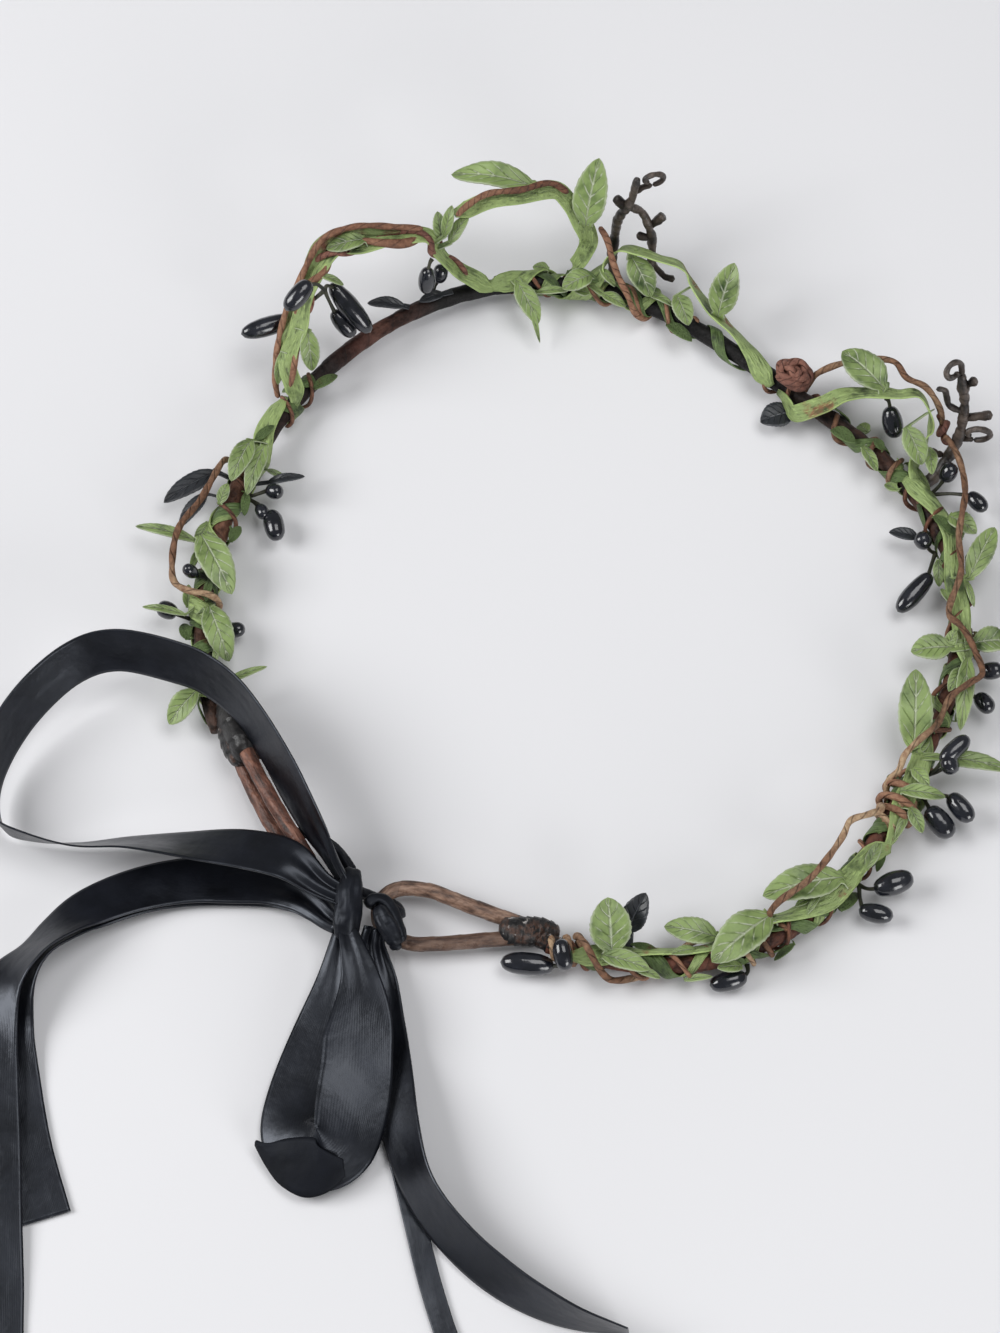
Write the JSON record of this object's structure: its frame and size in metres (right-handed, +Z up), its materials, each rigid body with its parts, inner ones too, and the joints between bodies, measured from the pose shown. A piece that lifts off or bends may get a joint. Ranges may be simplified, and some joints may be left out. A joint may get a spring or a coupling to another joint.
{
  "type": "antler leaf crown",
  "caption": "Wire hair crown wound with green leaf ribbon, black buds and paper twine, with twig antlers at the front and a black satin bow closing the back.",
  "frame": {"origin": "the middle of the head opening, at the height of the surface the crown lies on", "axes": "+Z up, out of the top of the crown; -Y towards the front, where the antlers are; +Y towards the bow; +X the side with the raised arch"},
  "size_m": [0.2252, 0.3299, 0.0368],
  "materials": {
    "wrapped_wire": "brown and black floral tape wound on wire",
    "leaf_green": "matte cloth leaf with pale veins",
    "paper_twine": "twisted paper cord, matte",
    "bud_black": "glossy",
    "leaf_black": "satin black leaf with pale veins",
    "antler_wrap": "dark brown tape wound on wire",
    "tape_black": "matte tape",
    "satin_black": "satin"
  },
  "bodies": {
    "root": {"hoop": "wrapped_wire", "garland_left": "leaf_green", "garland_arch": "leaf_green", "garland_top": "leaf_green", "garland_front": "leaf_green", "garland_front_right": "leaf_green", "garland_right": "leaf_green", "garland_back": "leaf_green", "twine_left": "paper_twine", "twine_arch": "paper_twine", "twine_top": "paper_twine", "twine_front": "paper_twine", "twine_front_right": "paper_twine", "twine_right": "paper_twine", "twine_back": "paper_twine", "twine_end": "paper_twine", "twine_rosette": "paper_twine", "bud_sprig_1": "bud_black", "bud_sprig_2": "bud_black", "bud_sprig_3": "bud_black", "bud_sprig_4": "bud_black", "bud_sprig_5": "bud_black", "bud_sprig_6": "bud_black", "bud_sprig_7": "bud_black", "bud_sprig_8": "bud_black", "bud_sprig_9": "bud_black", "bud_sprig_10": "bud_black", "bud_sprig_11": "bud_black", "bud_sprig_12": "bud_black", "bud_sprig_13": "bud_black", "bud_sprig_14": "bud_black", "bud_sprig_15": "bud_black", "bud_sprig_16": "bud_black", "black_leaf_1": "leaf_black", "black_leaf_2": "leaf_black", "black_leaf_3": "leaf_black", "black_leaf_4": "leaf_black", "black_leaf_5": "leaf_black", "black_leaf_6": "leaf_black", "black_leaf_7": "leaf_black", "black_leaf_8": "leaf_black", "antler_left": "antler_wrap", "antler_right": "antler_wrap", "bow_loop_large": "satin_black", "bow_loop_small": "satin_black", "bow_knot": "satin_black", "bow_hitch": "satin_black", "bow_tail_cut": "satin_black", "bow_tail_long": "satin_black", "bow_tail_curved": "satin_black", "bow_tail_narrow": "satin_black", "end_tie": "tape_black"}
  },
  "joints": []
}
